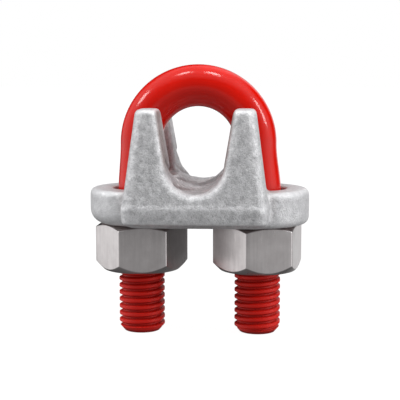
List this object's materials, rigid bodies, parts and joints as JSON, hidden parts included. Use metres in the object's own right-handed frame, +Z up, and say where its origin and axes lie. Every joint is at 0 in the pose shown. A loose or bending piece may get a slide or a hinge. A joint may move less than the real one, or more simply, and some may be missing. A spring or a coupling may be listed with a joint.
{
  "type": "wire rope clip",
  "caption": "Saddle-and-U-bolt wire rope clip: a red threaded U-bolt clamps a rope against a forged, galvanised saddle with tall guide prongs, drawn up by heavy hexagon nuts.",
  "frame": {"origin": "on the ground midway between the two leg ends, centred along the rope", "axes": "+Z up from the leg ends to the bow; X from the left leg (-X) to the right leg (+X); Y along the rope, -Y the pictured front"},
  "size_m": [0.0604, 0.0486, 0.0738],
  "materials": {
    "red_enamel": "glossy red enamel over the whole bolt, threads included",
    "galvanised_steel": "hot-dip galvanised forging, light grey, mottled and slightly pitted",
    "zinc_plate": "bright zinc plate, smooth and slightly satin"
  },
  "bodies": {
    "u_bolt": {"u_bolt": "red_enamel"},
    "saddle": {"saddle": "galvanised_steel"},
    "nut_left": {"nut_left": "zinc_plate"},
    "nut_right": {"nut_right": "zinc_plate"}
  },
  "joints": [
    {"name": "saddle_slide", "type": "slide", "parent": "u_bolt", "child": "saddle", "axis": [0, 0, 1], "range_m": [-0.0166, 0.00586]},
    {"name": "nut_left_turn", "type": "hinge", "parent": "saddle", "child": "nut_left", "pos_m": [-0.0161, 0, 0.024], "axis": [0, 0, 1], "range_deg": [-3060, 1080]},
    {"name": "nut_right_turn", "type": "hinge", "parent": "saddle", "child": "nut_right", "pos_m": [0.0161, 0, 0.024], "axis": [0, 0, 1], "range_deg": [-3060, 1080]}
  ],
  "couplings": [
    {"joint": "nut_left_turn", "follows": "saddle_slide", "rad_per_m": 3215.6},
    {"joint": "nut_right_turn", "follows": "saddle_slide", "rad_per_m": 3215.6}
  ]
}
